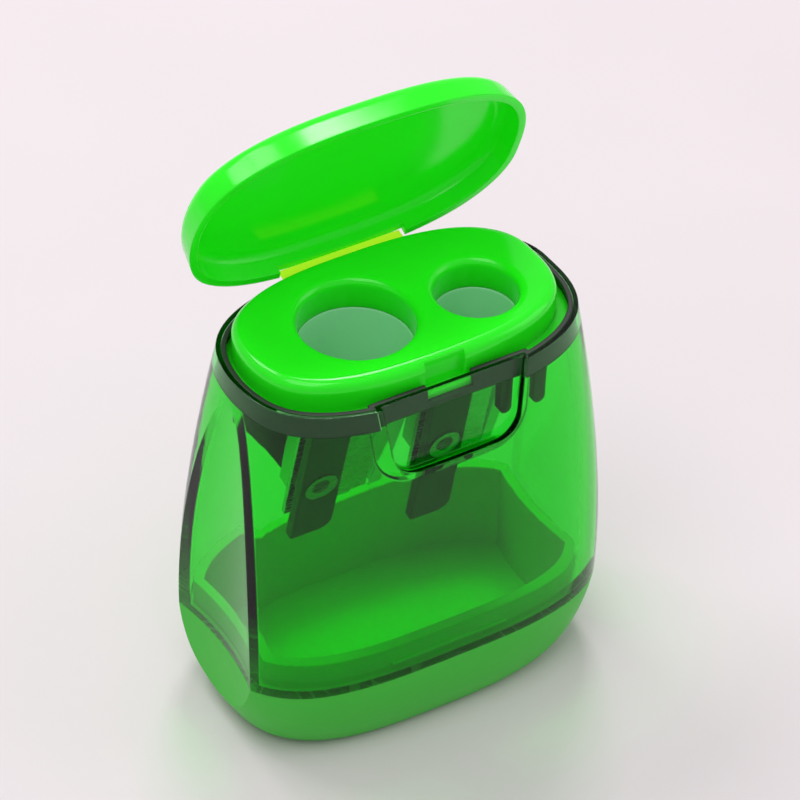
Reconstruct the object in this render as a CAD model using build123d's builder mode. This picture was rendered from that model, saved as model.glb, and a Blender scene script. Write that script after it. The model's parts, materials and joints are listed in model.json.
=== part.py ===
"""Two-hole pencil sharpener with a translucent shavings box, a pull-off base and a flip lid.

Millimetres. +X runs along the long side towards the small hole, +Y to the lid's hinge,
+Z up. The origin is the middle of the flat underside. The lid is drawn standing open.
"""
from build123d import *
import math
import os

# ---- overall heights -------------------------------------------------------------
joint_z = 9.1            # where the base cap meets the box
rim_z = 42.4             # top edge of the box
head_top_z = 44.5        # top of the raised island with the two holes

# ---- outside shape: a rounded oval that grows downwards, then turns in to the floor --
rim_half_length = 18.1
rim_half_width = 11.0
rim_roundness = 2.65     # exponent of the oval, 2 is an ellipse
belly_z = 11.4           # height of the widest place
belly_half_length = 21.25
belly_half_width = 12.95
belly_roundness = 3.25
length_flare = 1.72      # how early the length reaches its full size, 1 is a straight flare
width_flare = 2.3        # the same for the width
floor_roundness = 2.9
bottom_turn_length = 5.0 # how far the ends turn in below the belly, as a quarter of an ellipse
bottom_turn_width = 3.25 # the same for the long sides
bottom_turn_below = 0.2  # lowest point of that ellipse, below the floor
wall = 1.6               # wall of the translucent box
lip_wall = 0.45          # thin lip round the carrier at the top

# ---- hollow finger scoops at both ends ---------------------------------------------
scoop_top = 18.4         # distance of the scoop from the middle, at the rim
scoop_joint = 19.2       # at the joint
scoop_floor = 19.95      # and at the floor, where it has run out
scoop_bulge = 1.95       # how far its upright line bows outwards above the joint
scoop_radius = 33.0      # radius of the hollow, seen from above

# ---- thumb recess in the front of the box -----------------------------------------
recess_half_width = 7.8
recess_foot_half_width = 6.7
recess_height = 7.9
recess_corner = 2.6
recess_y = 9.95          # flat floor of the recess, from the middle, at the rim
recess_foot_y = 10.9     # and at its lower end
recess_wall = 1.2
recess_draft = 0.1       # sideways opening of the recess for each millimetre outwards
recess_inner_draft = 0.6 # the same for the pad behind it

# ---- base cap ----------------------------------------------------------------------
cap_floor = 2.0
spigot_height = 3.0
spigot_wall = 1.1
spigot_clearance = 0.3
catch_length = 13.1
catch_drop = 2.0         # from the top of the spigot to the middle of the catch ridge
catch_radius = 0.22

# ---- carrier: dark ring, plate, arms and gussets below the head --------------------
carrier_wall = 0.45
carrier_height = 2.3     # ring height, measured down from the rim
carrier_below_rim = 0.05
plate_thickness = 0.6
latch_slot_width = 5.0
fit_gap = 0.05           # between pieces that stay together
gusset_thickness = 1.2
gusset_y = 2.0
gusset_reach = 15.6      # outer edge of the gusset, from the middle
gusset_inner = 11.0      # its inner edge, at the plate
gusset_tip = 9.5         # its inner edge, at the tip
gusset_tip_width = 0.7
gusset_corner_depth = 5.3 # below the plate, to where the outer edge turns in
gusset_depth = 15.1      # below the plate, to the tip
peg_width = 1.3
peg_thickness = 1.0
peg_y = -7.0
peg_depth = 6.2
peg_x = (7.6, 11.2)

# ---- head: bright top with the two holes -------------------------------------------
island_half_length = 16.4
island_half_width = 9.3
island_roundness = 2.7
island_centre_y = 0.65
island_edge_round = 1.1
flange_thickness = 0.6
head_shell = 1.4
boss_wall = 1.2
large_hole_radius = 5.75
large_hole_x = -4.5
large_hole_y = 0.4
small_hole_radius = 4.15
small_hole_x = 8.0
small_hole_y = -1.1
hole_depth = 3.3         # straight wall of both holes
hole_mouth_round = 0.8
notch_width = 4.4
notch_depth = 0.5

# ---- cone guides, blades and screws ------------------------------------------------
cone_inset = 0.1         # cone mouth radius below the hole radius
large_cone_slope = 0.24  # radius lost per millimetre of depth
small_cone_slope = 0.20
large_guide_length = 17.0
small_guide_length = 17.2
guide_wall = 1.1
slit_depth = 0.3         # how far the blade plane cuts into the cone
blade_thickness = 0.5
blade_length = 14.5
blade_edge_past = 0.25   # cutting edge past the middle of the cone
blade_top_gap = 1.8      # below the top of the guide
arm_thickness = 1.0
arm_standoff = 0.8       # between an arm and its blade, bridged by a boss at the screw
arm_boss_radius = 2.0
arm_width = 4.3
arm_corner = 1.3
large_arm_offset = 6.6   # from the middle of the cone to the middle of its arm
small_arm_offset = 5.7
large_arm_foot_z = 23.5
small_arm_foot_z = 20.1
bed_thickness = 2.2
bed_half_width = 1.6     # outer edge of the bed, from the screw
bed_top = 5.4            # below the top of the guide
bed_length = 8.5
screw_depth = 10.7       # screw axis below the top of the guide, measured along the arm
screw_head_radius = 1.7
screw_head_height = 0.7
screw_shank_radius = 0.95
screw_slot_width = 0.4
screw_slot_depth = 0.35

# ---- lid and its living hinge --------------------------------------------------------
lid_half_length = 18.3
lid_half_width = 10.7
lid_roundness = 2.6
lid_centre_y = 0.35
lid_height = 3.6
lid_wall = 0.8
lid_roof = 1.1
lid_draft = 0.57         # how much smaller the lid is at its roof, on every side
lid_edge_round = 1.7
lid_inner_round = 1.1
lid_rim_gap = 0.55       # closed lid above the rim of the box
lid_open_angle = 74.0    # from closed, as drawn
hinge_inset = 0.25       # hinge axis inside the lid's back face
hinge_lift = 0.15        # hinge axis above the closed lid's rim
hinge_length = 13.5
hinge_thickness = 0.25
hinge_slot_depth = 0.6   # room for the web in the lid's back wall, from the axis
hinge_clearance = 0.3
latch_bead_length = 3.6
latch_bead_radius = 0.55
latch_bead_lift = 0.75   # above the lid's rim

# ---- values that follow --------------------------------------------------------------
carrier_z = rim_z - carrier_below_rim - carrier_height
plate_top_z = carrier_z + plate_thickness
flange_top_z = plate_top_z + flange_thickness
guide_top_z = head_top_z - hole_depth
lid_rim_z = rim_z + lid_rim_gap
hinge_y = lid_centre_y + lid_half_width - hinge_inset
hinge_z = lid_rim_z + hinge_lift
spigot_top_z = joint_z + spigot_height
outside = 2 * belly_half_length    # longer than anything it has to cut
bottom_turn_height = belly_z + bottom_turn_below
below_box = 0.5                    # cutters start this far below the joint
ring_inset = lip_wall + fit_gap
groove_inset = ring_inset + carrier_wall

os.makedirs("parts", exist_ok=True)


# ---- shared outlines -------------------------------------------------------------------
def oval_points(half_length, half_width, roundness, centre_y=0.0, count=28):
    """Points of a rounded oval |x/a|^n + |y/b|^n = 1, evenly turned about its middle."""
    points = []
    for i in range(count):
        turn = 2 * math.pi * (i + 0.5) / count
        c, s = math.cos(turn), math.sin(turn)
        reach = (abs(c / half_length) ** roundness + abs(s / half_width) ** roundness) ** (-1 / roundness)
        points.append((reach * c, reach * s + centre_y))
    return points


def oval_face(plane, half_length, half_width, roundness, centre_y=0.0):
    """Face of a rounded oval on a plane."""
    with BuildSketch(plane) as face:
        with BuildLine():
            Spline(*oval_points(half_length, half_width, roundness, centre_y), periodic=True)
        make_face()
    return face.sketch


def share(z, start, end):
    """0 at the start height and before it, 1 at the end height and past it."""
    return min(max((start - z) / (start - end), 0.0), 1.0)


def box_size(z):
    """Half length, half width and roundness of the outside at a height."""
    flare = share(z, rim_z, belly_z)
    turn = share(z, belly_z, -bottom_turn_below)
    inward = 1 - math.sqrt(1 - turn ** 2)
    half_length = rim_half_length + (belly_half_length - rim_half_length) * (1 - (1 - flare) ** length_flare)
    half_width = rim_half_width + (belly_half_width - rim_half_width) * (1 - (1 - flare) ** width_flare)
    roundness = rim_roundness + (belly_roundness - rim_roundness) * flare
    return (
        half_length - bottom_turn_length * inward,
        half_width - bottom_turn_width * inward,
        roundness + (floor_roundness - belly_roundness) * turn,
    )


def scoop_reach(z):
    """Distance of the scoop's deepest line from the middle at a height."""
    t = share(z, rim_z, joint_z)
    above = scoop_top + (scoop_joint - scoop_top) * t + scoop_bulge * t * (1 - t)
    return above + (scoop_floor - scoop_joint) * share(z, joint_z, 0.0)


def scoop_face(plane, reach, side):
    """Everything beyond one scoop's hollow line, as a face."""
    half = belly_half_width + 2
    sag = scoop_radius - math.sqrt(scoop_radius ** 2 - half ** 2)
    with BuildSketch(plane) as face:
        with BuildLine():
            ThreePointArc((side * (reach + sag), -half), (side * reach, 0), (side * (reach + sag), half))
            Polyline((side * (reach + sag), half), (side * outside, half), (side * outside, -half),
                     (side * (reach + sag), -half))
        make_face()
    return face.sketch


def hull(inset, low_z, high_z):
    """The outside shape between two heights, moved inwards by an inset."""
    steps = [0.0, 0.12, 0.3, 0.6, 1.0]
    return lofted_hull(inset, [high_z + (low_z - high_z) * step for step in steps])


def lofted_hull(inset, heights):
    """The outside shape through a list of heights, highest first, moved inwards by an inset."""
    with BuildPart() as solid:
        for z in heights:
            half_length, half_width, roundness = box_size(z)
            add(oval_face(Plane.XY.offset(z), half_length - inset, half_width - inset, roundness))
        loft()
        for side in (-1, 1):
            for z in [heights[0] + 0.01] + heights[1:-1] + [heights[-1] - 0.01]:
                add(scoop_face(Plane.XY.offset(z), scoop_reach(z) - inset, side))
            loft(mode=Mode.SUBTRACT)
    return solid.part


def foot_outline(plane, inset):
    """Plan of the box at its foot, with both scoops, moved inwards by an inset."""
    half_length, half_width, roundness = box_size(joint_z)
    with BuildSketch(plane) as face:
        add(oval_face(Plane.XY, half_length - inset, half_width - inset, roundness))
        for side in (-1, 1):
            add(scoop_face(Plane.XY, scoop_reach(joint_z) - inset, side), mode=Mode.SUBTRACT)
    return face.sketch


def recess_block(growth, spread):
    """Everything in front of the thumb recess's flat floor, grown by a wall thickness.

    Its sides open outwards by the spread for each millimetre.
    """
    lean = math.hypot(recess_foot_y - recess_y, recess_height)
    outward = (0, -recess_height / lean, (recess_foot_y - recess_y) / lean)
    floor = Plane(origin=(0, -recess_y, rim_z), x_dir=(1, 0, 0), z_dir=outward)
    with BuildPart() as block:
        for reach in (0, belly_half_width):
            wider = growth + spread * reach
            top = recess_half_width + wider
            foot = recess_foot_half_width + wider
            with BuildSketch(floor.offset(reach - growth)) as face:
                with BuildLine():
                    Polyline((-top, 2), (-top, 0), (-foot, -lean - wider), (foot, -lean - wider),
                             (top, 0), (top, 2), close=True)
                make_face()
                fillet(face.vertices().group_by(Axis.Y)[0], radius=recess_corner + wider)
        loft()
    return block.part


# ---- base cap: shallow tray with a spigot that plugs into the box ------------------------
joint_turn = math.asin(share(joint_z, belly_z, -bottom_turn_below))
floor_turn = math.asin(share(0.0, belly_z, -bottom_turn_below))
cap_steps = 6
cap_heights = [joint_z]
for step in range(1, cap_steps):
    turn = joint_turn + (floor_turn - joint_turn) * step / cap_steps
    cap_heights.append(belly_z - bottom_turn_height * math.sin(turn))
cap_heights.append(0.0)
cap_outside = lofted_hull(0, cap_heights)
spigot_plan = foot_outline(Plane.XY.offset(joint_z), wall + spigot_clearance)
tray_plan = foot_outline(Plane.XY.offset(cap_floor), wall + spigot_clearance + spigot_wall)
catch_y = box_size(joint_z)[1] - wall - spigot_clearance
with BuildPart() as base_cap:
    add(cap_outside)
    add(spigot_plan)
    extrude(amount=spigot_height)
    add(tray_plan)
    extrude(amount=outside, mode=Mode.SUBTRACT)
    with Locations((0, -catch_y, spigot_top_z - catch_drop), (0, catch_y, spigot_top_z - catch_drop)):
        Cylinder(catch_radius, catch_length, rotation=(0, 90, 0))
base_cap.part.label = "base_cap"

# ---- box: translucent shell, open below, with the thumb recess in front --------------------
box_outside = hull(0, joint_z, rim_z)
box_inside = hull(wall, joint_z - below_box, carrier_z)
ring_seat = hull(lip_wall, carrier_z, rim_z + 0.01)
recess_front = recess_block(0, recess_draft)
recess_behind = recess_block(recess_wall, recess_inner_draft)
recess_lip = recess_block(lip_wall, recess_draft)
with BuildPart() as box_cavity:
    add(box_inside)
    add(recess_behind, mode=Mode.SUBTRACT)
with BuildPart() as seat_cavity:
    add(ring_seat)
    add(recess_lip, mode=Mode.SUBTRACT)
with BuildPart() as body_shell:
    add(box_outside)
    add(recess_front, mode=Mode.SUBTRACT)
    add(box_cavity.part, mode=Mode.SUBTRACT)
    add(seat_cavity.part, mode=Mode.SUBTRACT)
body_shell.part.label = "body_shell"


# ---- planes of the two blades ---------------------------------------------------------------
def blade_plane(hole_x, hole_y, hole_radius, slope):
    """Plane on the cone's front line: its z points out, its y runs up the cone."""
    lean = math.atan(slope)
    return Plane(
        origin=(hole_x, hole_y - hole_radius + cone_inset, guide_top_z),
        x_dir=(1, 0, 0),
        z_dir=(0, -math.cos(lean), -math.sin(lean)),
    )


large_plane = blade_plane(large_hole_x, large_hole_y, large_hole_radius, large_cone_slope)
small_plane = blade_plane(small_hole_x, small_hole_y, small_hole_radius, small_cone_slope)
blade_out = -slit_depth
boss_out = blade_out + blade_thickness + fit_gap
arm_out = boss_out + arm_standoff
head_out = arm_out + arm_thickness + fit_gap

# ---- carrier: ring, plate, two arms, a gusset and two pegs ----------------------------------
ring_outside = hull(ring_inset, carrier_z, rim_z - carrier_below_rim)
ring_inside = hull(groove_inset, plate_top_z, rim_z)
recess_ring = recess_block(ring_inset, recess_draft)
recess_groove = recess_block(groove_inset, recess_draft)
with BuildPart() as groove_cavity:
    add(ring_inside)
    add(recess_groove, mode=Mode.SUBTRACT)
arms = (
    (large_plane, large_arm_offset, large_arm_foot_z),
    (small_plane, small_arm_offset, small_arm_foot_z),
)
with BuildPart() as hangers:
    for plane, offset, foot_z in arms:
        foot = (foot_z - guide_top_z) / plane.y_dir.Z
        with BuildSketch(plane.offset(arm_out)) as arm_face:
            with BuildLine():
                Polyline((-offset - arm_width / 2, 2), (-offset - arm_width / 2, foot),
                         (-offset + arm_width / 2, foot), (-offset + arm_width / 2, 2), close=True)
            make_face()
            fillet(arm_face.vertices().group_by(Axis.Y)[0].sort_by(Axis.X)[-1], radius=arm_corner)
        extrude(amount=arm_thickness, dir=plane.z_dir)
        with BuildSketch(plane.offset(boss_out)):
            with Locations((-offset, -screw_depth)):
                Circle(arm_boss_radius)
        extrude(amount=arm_standoff)
    with BuildSketch(Plane.XZ.offset(-gusset_y - gusset_thickness / 2)):
        with BuildLine():
            Polyline((-gusset_reach, plate_top_z), (-gusset_reach, carrier_z - gusset_corner_depth),
                     (-gusset_tip - gusset_tip_width, carrier_z - gusset_depth),
                     (-gusset_tip, carrier_z - gusset_depth), (-gusset_inner, plate_top_z), close=True)
        make_face()
    extrude(amount=gusset_thickness)
    with BuildSketch(Plane.XZ.offset(-peg_y - peg_thickness / 2)):
        with Locations(*[(x, plate_top_z) for x in peg_x]):
            SlotCenterToCenter(2 * (peg_depth + plate_thickness) - peg_width, peg_width, rotation=90)
    extrude(amount=peg_thickness)
    with Locations((0, 0, plate_top_z)):
        Box(outside, outside, outside, align=(Align.CENTER, Align.CENTER, Align.MIN), mode=Mode.SUBTRACT)
with BuildPart() as carrier:
    add(ring_outside)
    add(recess_ring, mode=Mode.SUBTRACT)
    add(groove_cavity.part, mode=Mode.SUBTRACT)
    with Locations((0, -rim_half_width, plate_top_z)):
        Box(latch_slot_width, rim_half_width, 2 * carrier_height,
            align=(Align.CENTER, Align.CENTER, Align.MIN), mode=Mode.SUBTRACT)
    add(hangers.part)
    with BuildSketch(Plane.XY.offset(carrier_z - 1)):
        with Locations((large_hole_x, large_hole_y)):
            Circle(large_hole_radius - cone_inset + guide_wall + fit_gap)
        with Locations((small_hole_x, small_hole_y)):
            Circle(small_hole_radius - cone_inset + guide_wall + fit_gap)
    extrude(amount=2 * plate_thickness + 1, mode=Mode.SUBTRACT)
    for plane, offset, foot_z in arms:
        with BuildSketch(plane.offset(boss_out)):
            with Locations((-offset, -screw_depth)):
                Circle(screw_shank_radius + fit_gap)
        extrude(amount=arm_standoff + arm_thickness, mode=Mode.SUBTRACT)
carrier.part.label = "carrier"

# ---- head: raised island on a flange, with both holes and the latch notch -------------------
flange_solid = hull(groove_inset + fit_gap, plate_top_z, rim_z)
recess_flange = recess_block(groove_inset + fit_gap, recess_draft)
island = oval_face(Plane.XY.offset(plate_top_z), island_half_length, island_half_width,
                   island_roundness, island_centre_y)
island_pocket = oval_face(Plane.XY.offset(plate_top_z), island_half_length - head_shell,
                          island_half_width - head_shell, island_roundness, island_centre_y)
holes = (
    (large_hole_x, large_hole_y, large_hole_radius),
    (small_hole_x, small_hole_y, small_hole_radius),
)
with BuildPart() as head:
    add(island)
    extrude(amount=head_top_z - plate_top_z)
    fillet(head.faces().sort_by(Axis.Z)[-1].edges(), radius=island_edge_round)
    with Locations((0, island_centre_y - island_half_width, head_top_z)):
        Box(notch_width, 2 * notch_depth, 2 * (head_top_z - plate_top_z), mode=Mode.SUBTRACT)
    add(island_pocket)
    extrude(amount=head_top_z - head_shell - plate_top_z, mode=Mode.SUBTRACT)
    for x, y, radius in holes:
        with BuildSketch(Plane.XY.offset(plate_top_z)):
            with Locations((x, y)):
                Circle(radius + guide_wall + boss_wall)
        extrude(amount=head_top_z - head_shell / 2 - plate_top_z)
with BuildPart() as flange:
    add(flange_solid)
    add(recess_flange, mode=Mode.SUBTRACT)
    with Locations((0, 0, flange_top_z)):
        Box(outside, outside, outside, align=(Align.CENTER, Align.CENTER, Align.MIN), mode=Mode.SUBTRACT)
    add(island_pocket)
    extrude(amount=flange_thickness, mode=Mode.SUBTRACT)
with BuildPart() as head_all:
    add(head.part)
    add(flange.part)
    for x, y, radius in holes:
        with BuildSketch(Plane.XY.offset(plate_top_z - 1)):
            with Locations((x, y)):
                Circle(radius)
        extrude(amount=outside, mode=Mode.SUBTRACT)
        with BuildSketch(Plane.XY.offset(plate_top_z - 1)):
            with Locations((x, y)):
                Circle(radius - cone_inset + guide_wall + fit_gap)
        extrude(amount=guide_top_z - plate_top_z + 1, mode=Mode.SUBTRACT)
    mouths = head_all.edges().filter_by(GeomType.CIRCLE).filter_by(lambda e: e.center().Z > head_top_z - 0.01)
    fillet(mouths, radius=hole_mouth_round)
head_all.part.label = "head"


# ---- cone guides -------------------------------------------------------------------------------
def guide(plane, hole_x, hole_y, hole_radius, slope, length, arm_offset):
    """Conical sleeve under a hole, with a bed for the blade and the slit its edge cuts through."""
    top = hole_radius - cone_inset
    centre = Plane(origin=(hole_x, hole_y, guide_top_z - fit_gap), z_dir=(0, 0, -1))
    collar = guide_top_z - fit_gap - carrier_z
    with BuildPart() as solid:
        with BuildSketch(centre):
            Circle(top + guide_wall)
        extrude(amount=collar)
        with BuildSketch(centre.offset(collar)):
            Circle(top + guide_wall - slope * collar)
        with BuildSketch(centre.offset(length)):
            Circle(top + guide_wall - slope * length)
        loft()
        with BuildSketch(plane.offset(blade_out - fit_gap - bed_thickness)):
            with Locations((0, -bed_top)):
                Rectangle(arm_offset + bed_half_width, bed_length, align=(Align.MAX, Align.MAX))
        extrude(amount=bed_thickness)
        with BuildSketch(centre):
            Circle(top)
        with BuildSketch(centre.offset(length)):
            Circle(top - slope * length)
        loft(mode=Mode.SUBTRACT)
        with BuildSketch(plane.offset(blade_out - fit_gap)):
            with Locations((0, -blade_top_gap)):
                Rectangle(outside, outside, align=(Align.CENTER, Align.MAX))
        extrude(amount=belly_half_width, mode=Mode.SUBTRACT)
        with BuildSketch(plane.offset(blade_out - fit_gap - bed_thickness)):
            with Locations((-arm_offset, -screw_depth)):
                Circle(screw_shank_radius + fit_gap)
        extrude(amount=bed_thickness, mode=Mode.SUBTRACT)
    return solid


large_guide = guide(large_plane, large_hole_x, large_hole_y, large_hole_radius, large_cone_slope,
                    large_guide_length, large_arm_offset)
large_guide.part.label = "large_guide"
small_guide = guide(small_plane, small_hole_x, small_hole_y, small_hole_radius, small_cone_slope,
                    small_guide_length, small_arm_offset)
small_guide.part.label = "small_guide"


# ---- blades: flat steel with one ground edge ------------------------------------------------------
def blade(plane, arm_offset):
    """Flat blade from its arm to just past the middle of the cone, edge towards the cone."""
    width = blade_edge_past + arm_offset + arm_width / 2
    bevel = 3 * blade_thickness
    with BuildPart() as solid:
        with BuildSketch(plane.offset(blade_out)):
            with Locations((blade_edge_past, -blade_top_gap - fit_gap)):
                Rectangle(width, blade_length, align=(Align.MAX, Align.MAX))
            with Locations((-arm_offset, -screw_depth)):
                Circle(screw_shank_radius + fit_gap, mode=Mode.SUBTRACT)
        extrude(amount=blade_thickness)
        edge = solid.edges().filter_by(Axis.Y, tolerance=20).sort_by(Axis.X)[-2:]
        chamfer(edge.sort_by(Axis.Y)[0], length=bevel, length2=blade_thickness * 0.9)
    return solid


large_blade = blade(large_plane, large_arm_offset)
large_blade.part.label = "large_blade"
small_blade = blade(small_plane, small_arm_offset)
small_blade.part.label = "small_blade"

# ---- blade screws: slotted round heads on the arms -------------------------------------------------
shank_start = blade_out - fit_gap - bed_thickness
with BuildPart() as blade_screws:
    for plane, offset, foot_z in arms:
        with BuildSketch(plane.offset(shank_start)):
            with Locations((-offset, -screw_depth)):
                Circle(screw_shank_radius)
        extrude(amount=head_out - shank_start)
        with BuildSketch(plane.offset(head_out)):
            with Locations((-offset, -screw_depth)):
                Circle(screw_head_radius)
        extrude(amount=screw_head_height)
        with BuildSketch(plane.offset(head_out + screw_head_height - screw_slot_depth)):
            with Locations((-offset, -screw_depth)):
                Rectangle(2 * screw_head_radius + 1, screw_slot_width, rotation=35)
        extrude(amount=screw_head_height, mode=Mode.SUBTRACT)
blade_screws.part.label = "blade_screws"

# ---- lid: rounded tray, drawn closed about its hinge axis, then stood open -------------------------
lid_base = Plane.XY.offset(lid_rim_z - hinge_z)
lid_middle = lid_centre_y - hinge_y
hollow_height = lid_height - lid_roof


def lid_face(height, inset):
    """Outline of the closed lid at a height above its rim, moved inwards by an inset."""
    inward = inset + lid_draft * height / lid_height
    return oval_face(lid_base.offset(height), lid_half_length - inward, lid_half_width - inward,
                     lid_roundness, lid_middle)


bead_y = lid_middle - lid_half_width + lid_wall
bead_z = lid_rim_z + latch_bead_lift - hinge_z
with BuildPart() as lid_hollow:
    add(lid_face(0, lid_wall))
    add(lid_face(hollow_height, lid_wall))
    loft()
    fillet(lid_hollow.faces().sort_by(Axis.Z)[-1].edges(), radius=lid_inner_round)
with BuildPart() as closed_lid:
    add(lid_face(0, 0))
    add(lid_face(lid_height, 0))
    loft()
    fillet(closed_lid.faces().sort_by(Axis.Z)[-1].edges(), radius=lid_edge_round)
    add(lid_hollow.part, mode=Mode.SUBTRACT)
    with Locations((0, bead_y, bead_z)):
        Cylinder(latch_bead_radius, latch_bead_length, rotation=(0, 90, 0))
    with BuildSketch(lid_base):
        with Locations((0, hinge_inset)):
            Rectangle(hinge_length + 2 * hinge_clearance, 4 * lid_wall)
    extrude(amount=hinge_lift + hinge_slot_depth, mode=Mode.SUBTRACT)
opened = math.radians(lid_open_angle)
lid_plane = Plane(origin=(0, hinge_y, hinge_z), x_dir=(1, 0, 0),
                  z_dir=(0, math.sin(opened), math.cos(opened)))
with BuildPart() as lid:
    add(lid_plane.location * closed_lid.part)
lid.part.label = "lid"

# ---- living hinge: a thin web from the back of the island to the hinge axis --------------------------
island_side = oval_face(Plane.XY.offset(hinge_z - 1), island_half_length, island_half_width,
                        island_roundness, island_centre_y)
with BuildPart() as hinge_web:
    with Locations((0, hinge_y + hinge_inset, hinge_z)):
        Box(hinge_length, lid_half_width / 2, hinge_thickness, align=(Align.CENTER, Align.MAX, Align.CENTER))
    add(island_side)
    extrude(amount=2, mode=Mode.SUBTRACT)
hinge_web.part.label = "hinge_web"

for piece in (base_cap, body_shell, carrier, head_all, large_guide, small_guide, large_blade,
              small_blade, blade_screws, lid, hinge_web):
    export_step(piece.part, "parts/" + piece.part.label + ".step")
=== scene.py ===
"""Looks for the two-hole pencil sharpener: finishes, small trim and a plain studio."""
import json
import math

import bmesh
import bpy
from bpy.props import FloatProperty, FloatVectorProperty, PointerProperty
from mathutils import Matrix, Vector


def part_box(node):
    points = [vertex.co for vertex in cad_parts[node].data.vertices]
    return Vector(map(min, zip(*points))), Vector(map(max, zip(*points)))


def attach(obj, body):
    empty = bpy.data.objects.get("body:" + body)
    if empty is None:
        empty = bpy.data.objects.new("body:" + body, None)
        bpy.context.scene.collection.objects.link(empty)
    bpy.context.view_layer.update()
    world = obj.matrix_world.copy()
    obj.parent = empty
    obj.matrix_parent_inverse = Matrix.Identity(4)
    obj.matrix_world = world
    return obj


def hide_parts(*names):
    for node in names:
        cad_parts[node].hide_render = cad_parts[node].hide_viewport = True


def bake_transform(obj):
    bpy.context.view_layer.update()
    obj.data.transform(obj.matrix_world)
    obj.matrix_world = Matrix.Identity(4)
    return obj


bl_info = {
    "name": "Pencil Sharpener Looks",
    "version": (1, 0, 0),
    "blender": (4, 5, 0),
    "location": "View3D > Sidebar > Sharpener",
    "description": "Finishes the parts of a two-hole pencil sharpener and sets up a studio",
    "category": "Object",
}

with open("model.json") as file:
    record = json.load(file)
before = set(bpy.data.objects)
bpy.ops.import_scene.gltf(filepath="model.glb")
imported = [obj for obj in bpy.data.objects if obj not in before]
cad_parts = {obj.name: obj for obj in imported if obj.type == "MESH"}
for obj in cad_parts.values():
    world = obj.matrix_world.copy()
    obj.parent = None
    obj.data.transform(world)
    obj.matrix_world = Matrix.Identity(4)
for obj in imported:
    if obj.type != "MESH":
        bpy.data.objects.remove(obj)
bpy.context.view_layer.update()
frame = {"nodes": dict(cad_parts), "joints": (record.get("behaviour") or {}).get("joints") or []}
MM = 0.001


# ---- shader helpers ------------------------------------------------------------------
class Value:
    """A number socket that can be used in Python expressions."""

    def __init__(self, book, socket):
        self.book = book
        self.socket = socket

    def _math(self, operation, *others):
        inputs = {i: o for i, o in enumerate((self,) + others)}
        return self.book.node("ShaderNodeMath", {"operation": operation}, inputs)[0]

    def __add__(self, other):
        return self._math("ADD", other)

    def __radd__(self, other):
        return self._math("ADD", other)

    def __sub__(self, other):
        return self._math("SUBTRACT", other)

    def __rsub__(self, other):
        return self.book.node("ShaderNodeMath", {"operation": "SUBTRACT"}, {0: other, 1: self})[0]

    def __mul__(self, other):
        return self._math("MULTIPLY", other)

    def __rmul__(self, other):
        return self._math("MULTIPLY", other)


class Finish:
    """One material, with a single method that adds any node."""

    def __init__(self, name):
        self.material = bpy.data.materials.new(name)
        self.material.use_nodes = True
        self.tree = self.material.node_tree
        self.tree.nodes.clear()
        self.place = self.node("ShaderNodeTexCoord", {}, {}).get("Object")

    def node(self, kind, settings, inputs):
        node = self.tree.nodes.new(kind)
        for key, value in settings.items():
            setattr(node, key, value)
        for key, value in inputs.items():
            socket = node.inputs[key]
            if isinstance(value, Value):
                self.tree.links.new(value.socket, socket)
            else:
                socket.default_value = value
        return Outputs(self, node)

    def noise(self, scale, detail=2.0, stretch=(1, 1, 1)):
        spot = self.node("ShaderNodeMapping", {}, {"Vector": self.place, "Scale": stretch})[0]
        inputs = {"Vector": spot, "Scale": scale, "Detail": detail}
        return self.node("ShaderNodeTexNoise", {}, inputs).get("Fac")

    def tint(self, factor, first, second):
        mix = self.node("ShaderNodeMix", {"data_type": "RGBA"}, {0: factor, 6: first, 7: second})
        return Value(self, mix.bare.outputs[2])

    def bump(self, height, strength, distance, edge_round):
        """Surface relief on edges that are softly rounded, as moulded ones are."""
        soft = self.node("ShaderNodeBevel", {"samples": 6}, {"Radius": edge_round})[0]
        inputs = {"Height": height, "Strength": strength, "Distance": distance, "Normal": soft}
        return self.node("ShaderNodeBump", {}, inputs).get("Normal")

    def close(self, surface, volume=None):
        inputs = {"Surface": surface}
        if volume is not None:
            inputs["Volume"] = volume
        self.node("ShaderNodeOutputMaterial", {}, inputs)
        return self.material


class Outputs:
    """Outputs of a node, by number or name."""

    def __init__(self, book, node):
        self.book = book
        self.bare = node

    def __getitem__(self, index):
        return Value(self.book, self.bare.outputs[index])

    def get(self, name):
        return Value(self.book, self.bare.outputs[name])


def rgba(colour):
    return (colour[0], colour[1], colour[2], 1.0)


def scaled(colour, share):
    return (colour[0] * share, colour[1] * share, colour[2] * share, 1.0)


# ---- finishes --------------------------------------------------------------------------
def moulded_plastic(name, colour, roughness, grain, coat=0.0, glow=0.0, edge_round=0.25 * MM):
    """Moulded plastic: faint flow marks in the colour, uneven gloss and a fine skin.

    The glow is the light that soaks through thin walls.
    """
    skin = Finish(name)
    flow = skin.noise(scale=90.0, detail=3.0, stretch=(1, 1, 2.5))
    fine = skin.noise(scale=2600.0)
    haze = skin.noise(scale=420.0, detail=4.0)
    shade = skin.tint(flow, scaled(colour, 0.93), scaled(colour, 1.04))
    surface = skin.node("ShaderNodeBsdfPrincipled", {}, {
        "Base Color": shade,
        "Roughness": (haze - 0.5) * 0.12 + roughness,
        "Specular IOR Level": 0.3,
        "Coat Weight": coat,
        "Coat Roughness": 0.06,
        "Subsurface Weight": glow,
        "Subsurface Radius": (0.25, 1.0, 0.25),
        "Subsurface Scale": 2.5 * MM,
        "Normal": skin.bump(fine + haze * 1.5, strength=grain, distance=0.02 * MM, edge_round=edge_round),
    })
    return skin.close(surface[0])


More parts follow.
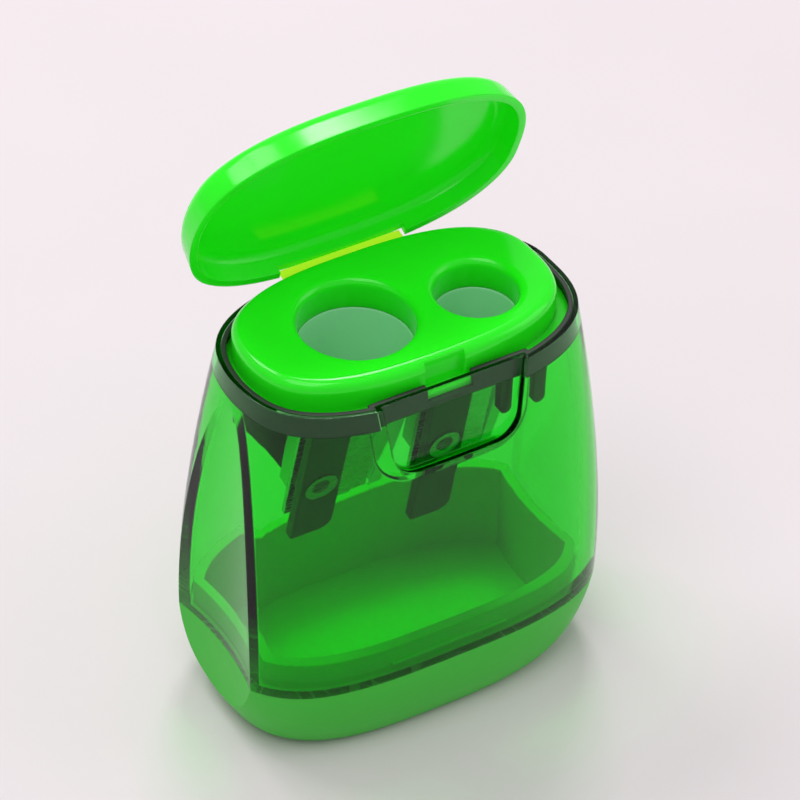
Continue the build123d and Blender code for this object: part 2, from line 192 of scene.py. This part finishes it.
def clear_shell(name, colour, density, shadow_tint, roughness):
    """Tinted clear plastic: its wall colours what is seen through it, and lamps pass through it.

    The IOR is below that of real plastic, so that the flat sky washes out less of the tint.
    """
    skin = Finish(name)
    ripple = skin.noise(scale=140.0, stretch=(1, 1, 0.6))
    rubbed = skin.noise(scale=300.0, detail=5.0)
    glass = skin.node("ShaderNodeBsdfPrincipled", {}, {
        "Base Color": (1, 1, 1, 1),
        "Roughness": rubbed * 0.04 + roughness,
        "IOR": 1.33,
        "Transmission Weight": 1.0,
        "Normal": skin.bump(ripple, strength=0.06, distance=0.2 * MM, edge_round=0.22 * MM),
    })
    tint = skin.node("ShaderNodeVolumeAbsorption", {}, {"Color": rgba(colour), "Density": density})
    passing = skin.node("ShaderNodeBsdfTransparent", {}, {"Color": rgba(shadow_tint)})
    shadow = skin.node("ShaderNodeLightPath", {}, {}).get("Is Shadow Ray")
    both = skin.node("ShaderNodeMixShader", {}, {0: shadow, 1: glass[0], 2: passing[0]})
    return skin.close(both[0], tint[0])


def flexed_web(name, colour):
    """Thin plastic, paled where it has been bent, that light comes through.

    Its faint emission stands for the light that the lid and the head pass on to it.
    """
    skin = Finish(name)
    crease = skin.noise(scale=1500.0, stretch=(0.15, 1, 1))
    normal = skin.bump(crease, strength=0.3, distance=0.03 * MM, edge_round=0.05 * MM)
    through_share = 0.6
    surface = skin.node("ShaderNodeBsdfPrincipled", {}, {
        "Base Color": skin.tint(crease, scaled(colour, 0.8), rgba(colour)),
        "Roughness": 0.35,
        "Emission Color": rgba(colour),
        "Emission Strength": 0.4,
        "Normal": normal,
    })
    through = skin.node("ShaderNodeBsdfTranslucent", {}, {"Color": rgba(colour)})
    both = skin.node("ShaderNodeMixShader", {}, {0: through_share, 1: surface[0], 2: through[0]})
    return skin.close(both[0])


def ground_steel(name, colour, roughness, edge_round):
    """Bright steel with fine grinding lines."""
    skin = Finish(name)
    lines = skin.noise(scale=900.0, stretch=(1, 14, 14))
    surface = skin.node("ShaderNodeBsdfPrincipled", {}, {
        "Base Color": skin.tint(lines, scaled(colour, 0.85), scaled(colour, 1.05)),
        "Metallic": 1.0,
        "Roughness": (lines - 0.5) * 0.25 + roughness,
        "Normal": skin.bump(lines, strength=0.2, distance=0.02 * MM, edge_round=edge_round),
    })
    return skin.close(surface[0])


def dress(node, material):
    """Gives a CAD node its finish."""
    mesh = frame["nodes"][node].data
    mesh.materials.clear()
    mesh.materials.append(material)


# ---- pieces that take the place of a CAD node ---------------------------------------------
def add_piece(name, mesh, node):
    """Links a finished mesh and lets it stand for a CAD node."""
    piece = bpy.data.objects.new(name, mesh)
    bpy.context.scene.collection.objects.link(piece)
    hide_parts(node)
    return piece


def screw_seats():
    """Middle and outward direction of each screw's head, read from the outer flats of the CAD screws."""
    mesh = frame["nodes"]["blade_screws"].data
    lowest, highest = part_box("blade_screws")
    parting = (lowest[0] + highest[0]) / 2
    facing_out = 0.9
    flat_depth = 0.05 * MM
    seats = []
    for side in (-1, 1):
        outer = [face for face in mesh.polygons
                 if (face.center.x - parting) * side > 0 and face.normal.y < -facing_out]
        axis = sum((face.normal * face.area for face in outer), Vector()).normalized()
        reach = max(face.center.dot(axis) for face in outer)
        top = [face for face in outer if face.center.dot(axis) > reach - flat_depth]
        area = sum(face.area for face in top)
        seats.append((sum((face.center * face.area for face in top), Vector()) / area, axis))
    return seats


class Tree:
    """A Geometry Nodes tree with named inputs."""

    def __init__(self, name, inputs):
        self.tree = bpy.data.node_groups.new(name, "GeometryNodeTree")
        self.tree.interface.new_socket("Geometry", in_out="INPUT", socket_type="NodeSocketGeometry")
        self.sockets = {}
        for label, value in inputs.items():
            kind = "NodeSocketMaterial" if isinstance(value, bpy.types.Material) else "NodeSocketFloat"
            self.sockets[label] = self.tree.interface.new_socket(label, in_out="INPUT", socket_type=kind)
        self.tree.interface.new_socket("Geometry", in_out="OUTPUT", socket_type="NodeSocketGeometry")
        self.values = inputs
        self.start = self.tree.nodes.new("NodeGroupInput")
        self.end = self.tree.nodes.new("NodeGroupOutput")

    def input(self, label):
        return self.start.outputs[label]

    def node(self, kind, settings, inputs):
        node = self.tree.nodes.new(kind)
        for key, value in settings.items():
            setattr(node, key, value)
        for key, value in inputs.items():
            for one in value if isinstance(value, list) else [value]:
                if isinstance(one, bpy.types.NodeSocket):
                    self.tree.links.new(one, node.inputs[key])
                else:
                    node.inputs[key].default_value = one
        return node

    def math(self, operation, first, second):
        return self.node("ShaderNodeMath", {"operation": operation}, {0: first, 1: second}).outputs[0]

    def vector(self, x, y, z):
        return self.node("ShaderNodeCombineXYZ", {}, {0: x, 1: y, 2: z}).outputs[0]

    def grow(self, seed_object, result):
        """Runs the tree on an object and returns the plain mesh that it makes."""
        self.tree.links.new(result, self.end.inputs[0])
        modifier = seed_object.modifiers.new("grow", "NODES")
        modifier.node_group = self.tree
        for label, value in self.values.items():
            modifier[self.sockets[label].identifier] = value
        evaluated = seed_object.evaluated_get(bpy.context.evaluated_depsgraph_get())
        mesh = bpy.data.meshes.new_from_object(evaluated)
        seed_object.modifiers.remove(modifier)
        return mesh


def grow_screws(seats, sizes, steel):
    """Domed screws with a cross slot, one on each seat, as one mesh."""
    points = bpy.data.meshes.new("screw_seats")
    points.from_pydata([seat for seat, axis in seats], [], [])
    turn = points.attributes.new("axis", "FLOAT_VECTOR", "POINT")
    for value, (seat, axis) in zip(turn.data, seats):
        value.vector = axis
    seed_object = bpy.data.objects.new("screw_seats", points)
    bpy.context.scene.collection.objects.link(seed_object)
    tree = Tree("screws", {
        "Head Radius": sizes.screw_head, "Head Height": sizes.screw_height,
        "Shank Radius": sizes.screw_shank, "Shank Length": sizes.screw_length,
        "Slot Width": sizes.slot_width, "Slot Reach": sizes.slot_reach, "Material": steel,
    })
    radius, height = tree.input("Head Radius"), tree.input("Head Height")
    # The head is a cylinder cut by a flattened ball, whose pole stands a little proud of the cylinder.
    dome_height, dome_sink, dome_spread, dome_rise = 1.9, 0.9, 1.15, 0.95
    dome_size = tree.math("MULTIPLY", height, dome_height)
    dome_radius = tree.math("MULTIPLY", radius, dome_spread)
    ball = tree.node("GeometryNodeMeshUVSphere", {}, {"Segments": 64, "Rings": 32, "Radius": 1.0})
    dome = tree.node("GeometryNodeTransform", {}, {
        "Geometry": ball.outputs[0],
        "Translation": tree.vector(0.0, 0.0, tree.math("MULTIPLY", dome_size, -dome_sink)),
        "Scale": tree.vector(dome_radius, dome_radius, tree.math("MULTIPLY", dome_size, dome_rise)),
    }).outputs[0]
    disc = tree.node("GeometryNodeMeshCylinder", {}, {"Vertices": 64, "Radius": radius, "Depth": height})
    rim = tree.node("GeometryNodeTransform", {}, {
        "Geometry": disc.outputs[0],
        "Translation": tree.vector(0.0, 0.0, tree.math("MULTIPLY", height, -0.5)),
    }).outputs[0]
    head = tree.node("GeometryNodeMeshBoolean", {"operation": "INTERSECT"}, {"Mesh 2": [rim, dome]})
    slot_height = tree.math("MULTIPLY", height, 1.2)
    reach, width = tree.input("Slot Reach"), tree.input("Slot Width")
    cutters = [
        tree.node("GeometryNodeMeshCube", {}, {"Size": tree.vector(*spans, slot_height)}).outputs[0]
        for spans in ((reach, width), (width, reach))
    ]
    slotted = tree.node("GeometryNodeMeshBoolean", {"operation": "DIFFERENCE"},
                        {"Mesh 1": head.outputs[0], "Mesh 2": cutters})
    length = tree.input("Shank Length")
    rod = tree.node("GeometryNodeMeshCylinder", {}, {
        "Vertices": 32, "Radius": tree.input("Shank Radius"), "Depth": length})
    below = tree.math("SUBTRACT", tree.math("MULTIPLY", length, -0.5), height)
    shank = tree.node("GeometryNodeTransform", {}, {
        "Geometry": rod.outputs[0], "Translation": tree.vector(0.0, 0.0, below)})
    screw = tree.node("GeometryNodeJoinGeometry", {}, {"Geometry": [slotted.outputs[0], shank.outputs[0]]})
    axis = tree.node("GeometryNodeInputNamedAttribute", {"data_type": "FLOAT_VECTOR"}, {"Name": "axis"})
    turned = tree.node("FunctionNodeAlignRotationToVector", {"axis": "Z"}, {"Vector": axis.outputs[0]})
    placed = tree.node("GeometryNodeInstanceOnPoints", {}, {
        "Points": tree.input("Geometry"), "Instance": screw.outputs[0], "Rotation": turned.outputs[0]})
    solid = tree.node("GeometryNodeRealizeInstances", {}, {"Geometry": placed.outputs[0]})
    result = tree.node("GeometryNodeSetMaterial", {}, {
        "Geometry": solid.outputs[0], "Material": tree.input("Material")})
    mesh = tree.grow(seed_object, result.outputs[0])
    bpy.data.objects.remove(seed_object)
    return mesh


# ---- settings -----------------------------------------------------------------------------
def colour_setting(name, description, default):
    return FloatVectorProperty(name=name, description=description, subtype="COLOR",
                               size=3, min=0, max=1, default=default)


def length_setting(name, description, default):
    return FloatProperty(name=name, description=description, default=default, min=0,
                         unit="LENGTH", precision=4)


def angle_setting(name, description, degrees):
    return FloatProperty(name=name, description=description, default=math.radians(degrees), subtype="ANGLE")


def strength_setting(name, description, default):
    return FloatProperty(name=name, description=description, default=default, min=0)


class SharpenerColours(bpy.types.PropertyGroup):
    bright: colour_setting("Bright green", "Head and lid", (0.02, 0.92, 0.012))
    web: colour_setting("Hinge green", "Thin flexed hinge", (0.75, 1.0, 0.06))
    base: colour_setting("Base green", "Pull-off base", (0.045, 0.52, 0.035))
    shell: colour_setting("Shell tint", "Tint of the clear box", (0.015, 0.95, 0.15))
    shell_shadow: colour_setting("Shell shadow", "Colour of light that has come through the box",
                                 (0.3, 0.96, 0.36))
    # The carrier's near-black is partly its own dark colour and partly painted shade, for the shade inside
    # the box where the ring and arms sit.
    carrier: colour_setting("Carrier grey", "Ring and arms", (0.03, 0.03, 0.03))
    # The guides are grey. The green in this colour is painted light: it stands for the green light that the
    # hole walls and the box throw on them.
    guide: colour_setting("Guide grey", "Cone guides", (0.34, 0.8, 0.46))
    steel: colour_setting("Steel", "Blades and screws", (0.6, 0.6, 0.62))
    floor: colour_setting("Floor", "Studio floor", (0.74, 0.67, 0.7))


class SharpenerSizes(bpy.types.PropertyGroup):
    gloss: FloatProperty(name="Gloss", description="Roughness of the bright plastic",
                         default=0.16, min=0, max=1)
    tint_density: strength_setting("Tint density", "Depth of the shell's tint per metre", 1100.0)
    screw_head: length_setting("Screw head", "Radius of a screw's head", 1.7 * MM)
    screw_height: length_setting("Screw height", "Height of a screw's head", 0.7 * MM)
    screw_shank: length_setting("Screw shank", "Radius of a screw's shank", 0.95 * MM)
    screw_length: length_setting("Screw length", "Length below the head", 4.55 * MM)
    slot_width: length_setting("Slot width", "Width of a screw's cross slot", 0.42 * MM)
    slot_reach: length_setting("Slot reach", "Length of a screw's cross slot", 2.1 * MM)
    web_thickness: length_setting("Hinge thickness", "Thickness of the living hinge", 0.3 * MM)
    web_depth: length_setting("Hinge depth", "How far the hinge reaches into the lid's wall", 0.56 * MM)
    floor_reach: FloatProperty(name="Floor reach", description="Half width of the floor",
                               default=1.5, min=0.1, unit="LENGTH")


class StudioSettings(bpy.types.PropertyGroup):
    azimuth: angle_setting("Azimuth", "Camera direction round the object", -32.339)
    elevation: angle_setting("Elevation", "Camera height angle", 40.345)
    roll: angle_setting("Roll", "Camera roll", -2.286)
    distance: length_setting("Distance", "Camera distance", 0.41315)
    lens: strength_setting("Lens", "Focal length in millimetres", 199.8)
    aim: FloatVectorProperty(name="Aim", description="Point in the middle of the view", size=3,
                             default=(-0.00705, -0.01198, 0.04455), subtype="TRANSLATION", unit="LENGTH")
    key: strength_setting("Key lamp", "Power of the large soft lamp", 1.9)
    fill: strength_setting("Fill lamp", "Power of the side lamp", 0.7)
    window: strength_setting("Window lamp", "Power of each pane of the lamp behind", 0.7)
    rim: strength_setting("Rim lamp", "Power of the small lamp that draws the rim", 1.3)
    sky: strength_setting("Sky", "Strength of the even light", 0.52)


# ---- operators ---------------------------------------------------------------------------------
class SHARPENER_OT_head(bpy.types.Operator):
    """Finish the bright head with its two holes"""
    bl_idname = "sharpener.head"
    bl_label = "Head"

    def execute(self, context):
        colours, sizes = context.scene.sharpener_colours, context.scene.sharpener_sizes
        dress("head", moulded_plastic("head_gloss", colours.bright, sizes.gloss,
                                      grain=0.15, coat=0.2, glow=0.55))
        return {"FINISHED"}


class SHARPENER_OT_lid(bpy.types.Operator):
    """Finish the flip lid and its living hinge"""
    bl_idname = "sharpener.lid"
    bl_label = "Lid and hinge"

    def execute(self, context):
        colours, sizes = context.scene.sharpener_colours, context.scene.sharpener_sizes
        dress("lid", moulded_plastic("lid_gloss", colours.bright, sizes.gloss,
                                     grain=0.15, coat=0.05, glow=0.7))
        self.hinge(flexed_web("hinge_flexed", colours.web), sizes.web_thickness, sizes.web_depth)
        return {"FINISHED"}

    def hinge(self, material, thickness, depth):
        """A thin strip that leaves the head level and bends up into the slot in the lid's wall."""
        lowest, highest = (Vector(corner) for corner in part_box("hinge_web"))
        joint = next(joint for joint in frame["joints"] if joint["name"] == "lid_hinge")
        axis = Vector(joint["pos_m"])
        opened = math.radians(-joint["range_deg"][0])
        into_lid = Vector((0, math.sin(opened), math.cos(opened)))
        rows, columns = 10, 12
        level_run = (axis.y - lowest.y) * 0.7
        line = [Vector((0, lowest.y + level_run * step / rows, axis.z)) for step in range(rows + 1)]
        tail = axis + into_lid * depth
        start = line[-1]
        for step in range(1, rows + 1):
            t = step / rows
            line.append(start * (1 - t) ** 2 + axis * 2 * t * (1 - t) + tail * t ** 2)
        places = [lowest.x + (highest.x - lowest.x) * column / columns for column in range(columns + 1)]
        shape = bmesh.new()
        rings = []
        for place, after in zip(line, line[1:] + [tail * 2 - line[-2]]):
            along = (after - place).normalized()
            across = Vector((0, -along.z, along.y)) * thickness / 2
            over = [place + across + Vector((x, 0, 0)) for x in places]
            under = [point - across * 2 for point in reversed(over)]
            rings.append([shape.verts.new(point) for point in over + under])
        for first, second in zip(rings, rings[1:]):
            for i, vertex in enumerate(first):
                after = (i + 1) % len(first)
                shape.faces.new((vertex, first[after], second[after], second[i]))
        shape.faces.new(rings[0])
        shape.faces.new(list(reversed(rings[-1])))
        bmesh.ops.recalc_face_normals(shape, faces=shape.faces)
        mesh = bpy.data.meshes.new("hinge_strip")
        shape.to_mesh(mesh)
        shape.free()
        mesh.materials.append(material)
        strip = add_piece("hinge_strip", mesh, "hinge_web")
        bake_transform(strip)


class SHARPENER_OT_shell(bpy.types.Operator):
    """Finish the clear shavings box"""
    bl_idname = "sharpener.shell"
    bl_label = "Shavings box"

    def execute(self, context):
        colours, sizes = context.scene.sharpener_colours, context.scene.sharpener_sizes
        clear = clear_shell("shell_clear", colours.shell, sizes.tint_density, colours.shell_shadow,
                            roughness=0.01)
        dress("body_shell", clear)
        return {"FINISHED"}


class SHARPENER_OT_base(bpy.types.Operator):
    """Finish the pull-off base"""
    bl_idname = "sharpener.base"
    bl_label = "Base"

    def execute(self, context):
        colours = context.scene.sharpener_colours
        dress("base_cap", moulded_plastic("base_satin", colours.base, roughness=0.42, grain=0.6))
        return {"FINISHED"}


class SHARPENER_OT_works(bpy.types.Operator):
    """Finish the carrier, the cone guides, the blades and their screws"""
    bl_idname = "sharpener.works"
    bl_label = "Works"

    def execute(self, context):
        colours = context.scene.sharpener_colours
        # Near-black carrier: partly its own dark colour, partly painted shade of the box's inside.
        dress("carrier", moulded_plastic("carrier_satin", colours.carrier, roughness=0.4, grain=0.5))
        # Grey guides with painted green light: their colour holds the green light that the hole walls and
        # the box throw on them.
        guide = moulded_plastic("guide_satin", colours.guide, roughness=0.4, grain=0.4)
        dress("large_guide", guide)
        dress("small_guide", guide)
        steel = ground_steel("blade_steel", colours.steel, roughness=0.25, edge_round=0.03 * MM)
        for node in ("large_blade", "small_blade"):
            dress(node, steel)
        return {"FINISHED"}


class SHARPENER_OT_screws(bpy.types.Operator):
    """Make the two domed blade screws and seat them on the arms"""
    bl_idname = "sharpener.screws"
    bl_label = "Blade screws"

    def execute(self, context):
        colours, sizes = context.scene.sharpener_colours, context.scene.sharpener_sizes
        dark = scaled(colours.steel, 0.75)
        steel = ground_steel("screw_steel", dark, roughness=0.3, edge_round=0.1 * MM)
        mesh = grow_screws(screw_seats(), sizes, steel)
        screws = add_piece("cross_screws", mesh, "blade_screws")
        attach(screws, "box")
        return {"FINISHED"}


def soft_lamp(name, place, target, size, power):
    """A rectangular lamp that faces a point of the object."""
    lamp = bpy.data.lights.new(name, "AREA")
    lamp.shape = "RECTANGLE"
    lamp.size, lamp.size_y = size
    lamp.energy = power
    lamp_object = bpy.data.objects.new(name, lamp)
    lamp_object.location = place
    lamp_object.rotation_euler = (Vector(target) - Vector(place)).to_track_quat("-Z", "Y").to_euler()
    bpy.context.scene.collection.objects.link(lamp_object)


class SHARPENER_OT_stage(bpy.types.Operator):
    """Set up the pale floor, the soft lamps and the camera"""
    bl_idname = "sharpener.stage"
    bl_label = "Studio"

    def execute(self, context):
        scene = context.scene
        studio, colours, sizes = scene.sharpener_studio, scene.sharpener_colours, scene.sharpener_sizes
        self.floor(scene, colours.floor, sizes.floor_reach)
        self.sky(scene, studio.sky)
        soft_lamp("key_lamp", (-0.25, -0.15, 0.75), (0, 0, 0.03), (0.5, 0.5), studio.key)
        soft_lamp("fill_lamp", (0.6, -0.3, 0.35), (0, 0, 0.03), (0.4, 0.5), studio.fill)
        pane_size = (0.15, 0.25)
        for pane in (-1, 1):
            place = (-0.17 + 0.08 * pane, 0.4 + 0.03 * pane, 0.6)
            soft_lamp("window_pane", place, (0, 0, 0.06), pane_size, studio.window)
        soft_lamp("rim_lamp", (0.2, 0.32, 0.62), (0, 0, 0.04), (0.16, 0.16), studio.rim)
        self.camera(scene, studio)
        scene.view_settings.view_transform = "Standard"
        return {"FINISHED"}

    def floor(self, scene, colour, reach):
        mesh = bpy.data.meshes.new("floor")
        shape = bmesh.new()
        bmesh.ops.create_grid(shape, x_segments=2, y_segments=2, size=reach)
        shape.to_mesh(mesh)
        shape.free()
        floor = bpy.data.objects.new("floor", mesh)
        scene.collection.objects.link(floor)
        skin = Finish("floor_paper")
        tone = skin.noise(scale=30.0)
        surface = skin.node("ShaderNodeBsdfPrincipled", {}, {
            "Base Color": skin.tint(tone, scaled(colour, 0.97), scaled(colour, 1.02)), "Roughness": 0.7})
        mesh.materials.append(skin.close(surface[0]))

    def sky(self, scene, strength):
        world = scene.world or bpy.data.worlds.new("studio")
        scene.world = world
        world.use_nodes = True
        tree = world.node_tree
        tree.nodes.clear()
        back = tree.nodes.new("ShaderNodeBackground")
        back.inputs["Color"].default_value = (0.95, 0.95, 0.96, 1)
        back.inputs["Strength"].default_value = strength
        out = tree.nodes.new("ShaderNodeOutputWorld")
        tree.links.new(back.outputs[0], out.inputs["Surface"])

    def camera(self, scene, studio):
        away = Vector((math.sin(studio.azimuth) * math.cos(studio.elevation),
                       -math.cos(studio.azimuth) * math.cos(studio.elevation), math.sin(studio.elevation)))
        right = away.cross(Vector((0, 0, -1))).normalized()
        up = right.cross(-away)
        side = right * math.cos(studio.roll) - up * math.sin(studio.roll)
        top = up * math.cos(studio.roll) + right * math.sin(studio.roll)
        place = Vector(studio.aim) + away * studio.distance
        camera = bpy.data.cameras.new("camera")
        camera.lens = studio.lens
        camera.clip_start = 0.01
        turn = Matrix((side, top, away)).transposed().to_4x4()
        seat = bpy.data.objects.new("camera", camera)
        seat.matrix_world = Matrix.Translation(place) @ turn
        scene.collection.objects.link(seat)
        scene.camera = seat


class SHARPENER_PT_panel(bpy.types.Panel):
    bl_label = "Pencil sharpener"
    bl_idname = "SHARPENER_PT_panel"
    bl_space_type = "VIEW_3D"
    bl_region_type = "UI"
    bl_category = "Sharpener"

    def draw(self, context):
        for group in (context.scene.sharpener_colours, context.scene.sharpener_sizes,
                      context.scene.sharpener_studio):
            for name in group.__annotations__:
                self.layout.prop(group, name)
        for operator in OPERATORS:
            self.layout.operator(operator.bl_idname)


OPERATORS = (SHARPENER_OT_head, SHARPENER_OT_lid, SHARPENER_OT_shell, SHARPENER_OT_base, SHARPENER_OT_works,
             SHARPENER_OT_screws, SHARPENER_OT_stage)
GROUPS = (("sharpener_colours", SharpenerColours), ("sharpener_sizes", SharpenerSizes),
          ("sharpener_studio", StudioSettings))


def register():
    for name, group in GROUPS:
        bpy.utils.register_class(group)
        setattr(bpy.types.Scene, name, PointerProperty(type=group))
    for operator in OPERATORS:
        bpy.utils.register_class(operator)
    bpy.utils.register_class(SHARPENER_PT_panel)


def unregister():
    bpy.utils.unregister_class(SHARPENER_PT_panel)
    for operator in reversed(OPERATORS):
        bpy.utils.unregister_class(operator)
    for name, group in reversed(GROUPS):
        delattr(bpy.types.Scene, name)
        bpy.utils.unregister_class(group)


def main():
    register()
    for operator in OPERATORS:
        getattr(bpy.ops.sharpener, operator.bl_idname.split(".")[1])()


if __name__ == "__main__":
    main()
